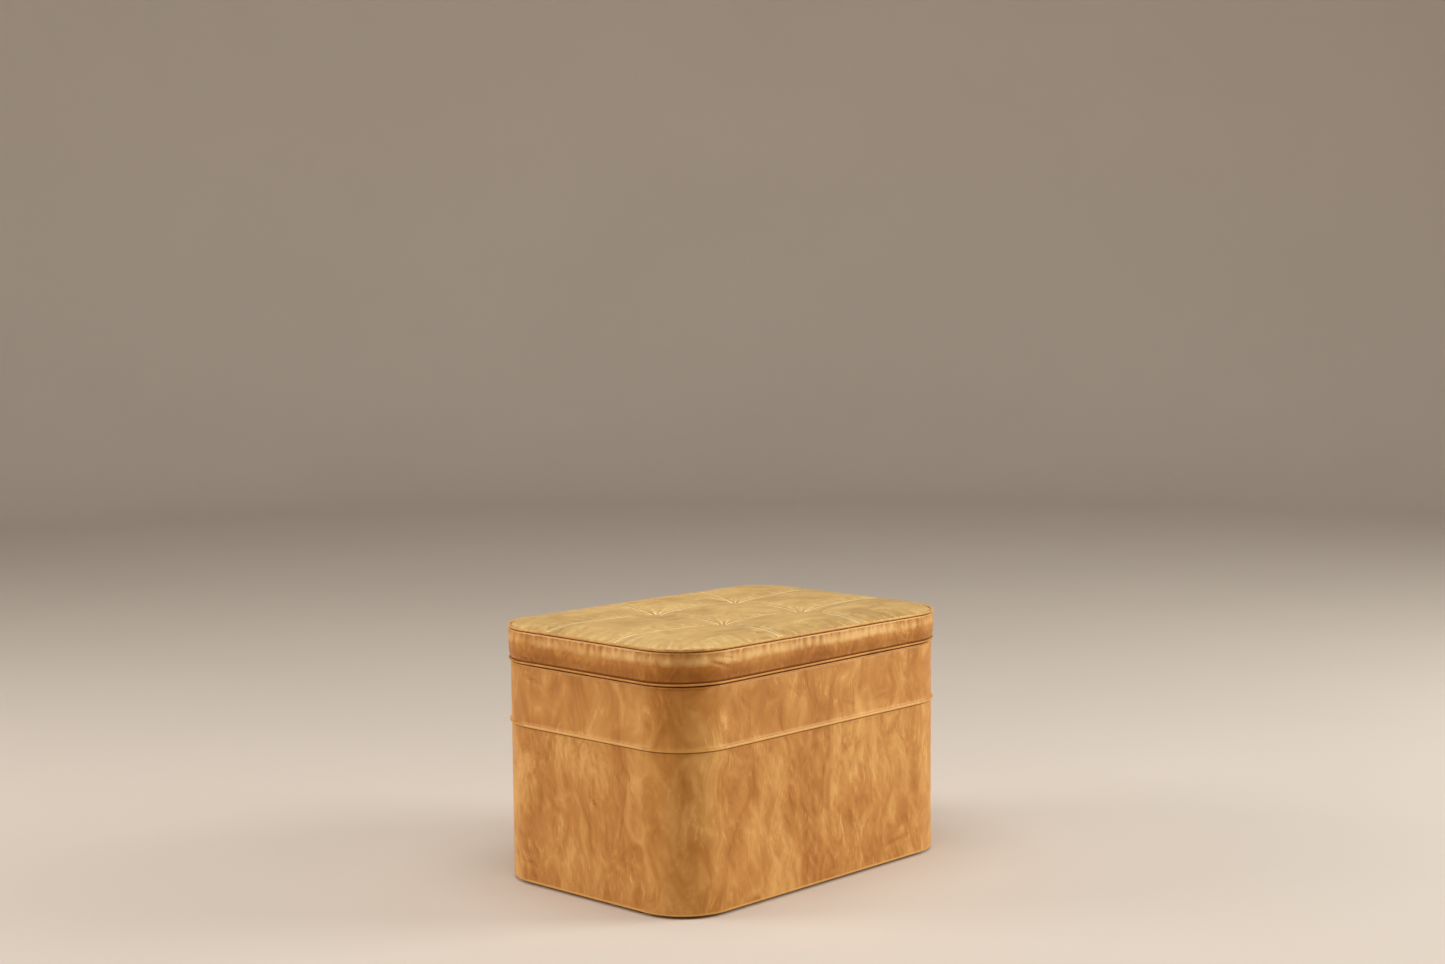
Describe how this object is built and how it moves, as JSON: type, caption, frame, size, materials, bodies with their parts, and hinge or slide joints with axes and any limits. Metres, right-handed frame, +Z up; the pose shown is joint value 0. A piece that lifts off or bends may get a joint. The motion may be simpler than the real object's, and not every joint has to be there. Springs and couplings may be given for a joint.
{
  "type": "storage ottoman",
  "caption": "Upholstered box stool with rounded corners: a padded, tufted lid hinged at the rear lifts on slotted stays to open a lined storage well.",
  "frame": {"origin": "on the floor, under the middle of the box", "axes": "+X along the long side, +Y from the front towards the hinged rear, +Z up"},
  "size_m": [0.588, 0.404, 0.3775],
  "materials": {
    "plywood": "bare birch plywood",
    "pine": "bare planed pine",
    "camel_hide": "mottled golden camel, satin, lightly creased",
    "wadding": "matt fibre",
    "foam": "open-cell foam",
    "lining": "black non-woven cloth",
    "dust_cloth": "thin black cloth",
    "thread": "twisted thread",
    "glide_plastic": "matt nylon",
    "bumper_rubber": "matt",
    "zinc_steel": "zinc plated",
    "zinc_screw": "zinc plated",
    "pin_steel": "bright"
  },
  "bodies": {
    "box": {"bottom_board": "plywood", "front_panel": "plywood", "rear_panel": "plywood", "left_panel": "plywood", "right_panel": "plywood", "corner_front_left": "plywood", "corner_front_right": "plywood", "corner_rear_left": "plywood", "corner_rear_right": "plywood", "front_rail": "pine", "rear_rail": "pine", "left_rail": "pine", "right_rail": "pine", "rail_block_front_left": "pine", "rail_block_front_right": "pine", "rail_block_rear_left": "pine", "rail_block_rear_right": "pine", "side_wadding": "wadding", "lower_side_cover": "camel_hide", "upper_side_cover": "camel_hide", "side_topstitching": "thread", "rim_facing": "camel_hide", "wall_lining": "lining", "floor_lining": "lining", "dust_cloth": "dust_cloth", "glide_front_left": "glide_plastic", "glide_front_right": "glide_plastic", "glide_rear_left": "glide_plastic", "glide_rear_right": "glide_plastic", "hinge_left_base_leaf": "zinc_steel", "hinge_right_base_leaf": "zinc_steel", "hinge_left_pin": "pin_steel", "hinge_right_pin": "pin_steel", "hinge_base_screws": "zinc_screw", "stay_left_plate": "zinc_steel", "stay_right_plate": "zinc_steel", "stay_plate_screws": "zinc_screw", "lid_bumpers": "bumper_rubber"},
    "lid": {"lid_board": "plywood", "lid_foam": "foam", "lid_wadding": "wadding", "top_cover": "camel_hide", "top_welt": "camel_hide", "boxing_band": "camel_hide", "bottom_welt": "camel_hide", "lid_lining": "lining", "tuft_cords": "thread", "tuft_washers": "zinc_steel", "hinge_left_lid_leaf": "zinc_steel", "hinge_right_lid_leaf": "zinc_steel", "hinge_lid_screws": "zinc_screw", "stay_left_bracket": "zinc_steel", "stay_right_bracket": "zinc_steel", "stay_bracket_screws": "zinc_screw", "stay_left_rivet": "pin_steel", "stay_right_rivet": "pin_steel"},
    "stay_left": {"stay_left_arm": "zinc_steel"},
    "stay_right": {"stay_right_arm": "zinc_steel"}
  },
  "joints": [
    {"name": "lid_hinge", "type": "hinge", "parent": "box", "child": "lid", "pos_m": [0, 0.1995, 0.31975], "axis": [-1, 0, 0], "range_deg": [0, 95]},
    {"name": "stay_left_pivot", "type": "hinge", "parent": "lid", "child": "stay_left", "pos_m": [-0.2534, 0.05974, 0.3115], "axis": [1, 0, 0], "range_deg": [0, 47.5]},
    {"name": "stay_right_pivot", "type": "hinge", "parent": "lid", "child": "stay_right", "pos_m": [0.2534, 0.05974, 0.3115], "axis": [1, 0, 0], "range_deg": [0, 47.5]}
  ],
  "couplings": [
    {"joint": "stay_left_pivot", "follows": "lid_hinge", "ratio": 0.5},
    {"joint": "stay_right_pivot", "follows": "lid_hinge", "ratio": 0.5}
  ]
}
